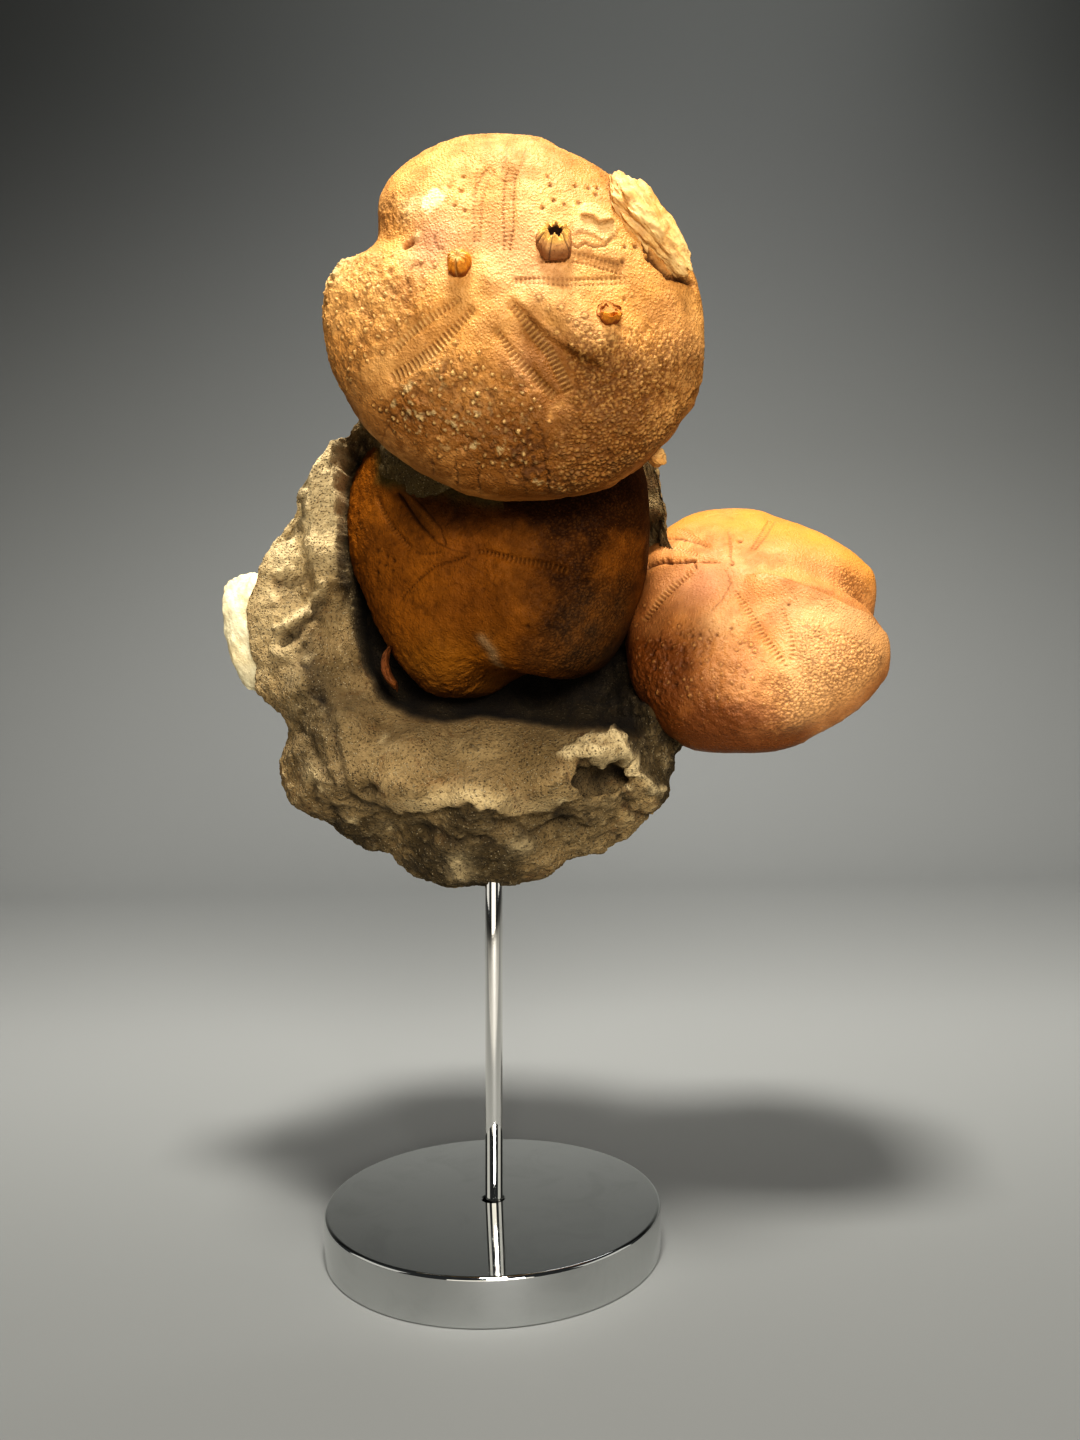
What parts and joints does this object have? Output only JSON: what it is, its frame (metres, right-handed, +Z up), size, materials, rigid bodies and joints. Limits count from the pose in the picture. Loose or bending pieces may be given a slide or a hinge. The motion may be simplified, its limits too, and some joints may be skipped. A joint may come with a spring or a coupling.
{
  "type": "mounted fossil sea urchin cluster",
  "caption": "Cluster of fossil heart urchins with barnacles, cemented in sandstone, held up by a polished rod on a round chrome base.",
  "frame": {"origin": "centre of the round base's flat underside, where the base's axis meets the surface it stands on", "axes": "+Z up along the base's axis, +X to the viewer's right and +Y away from the viewer, who faces the petals of the upper urchin from -Y"},
  "size_m": [0.1518, 0.0943, 0.2344],
  "materials": {
    "chrome_base": "mirror polished",
    "chrome_rod": "polished",
    "sandstone": "rough grey-brown sandstone",
    "tan_test": "fossil test, orange tan, granular",
    "brown_test": "fossil test, smooth brown",
    "orange_test": "fossil test, bright orange, granular",
    "barnacle_grey": "ribbed grey-brown wall",
    "barnacle_rust": "rusty orange-brown",
    "cream_shell": "chalky cream shell"
  },
  "bodies": {
    "root": {"base_disc": "chrome_base", "rod": "chrome_rod", "matrix_rock": "sandstone", "upper_urchin": "tan_test", "middle_urchin": "brown_test", "side_urchin": "orange_test", "barnacle_large": "barnacle_grey", "barnacle_small": "barnacle_rust", "barnacle_broken": "barnacle_rust", "shell_fragment": "cream_shell", "pale_shell": "cream_shell", "rim_chip": "cream_shell", "test_shard": "brown_test"}
  },
  "joints": []
}
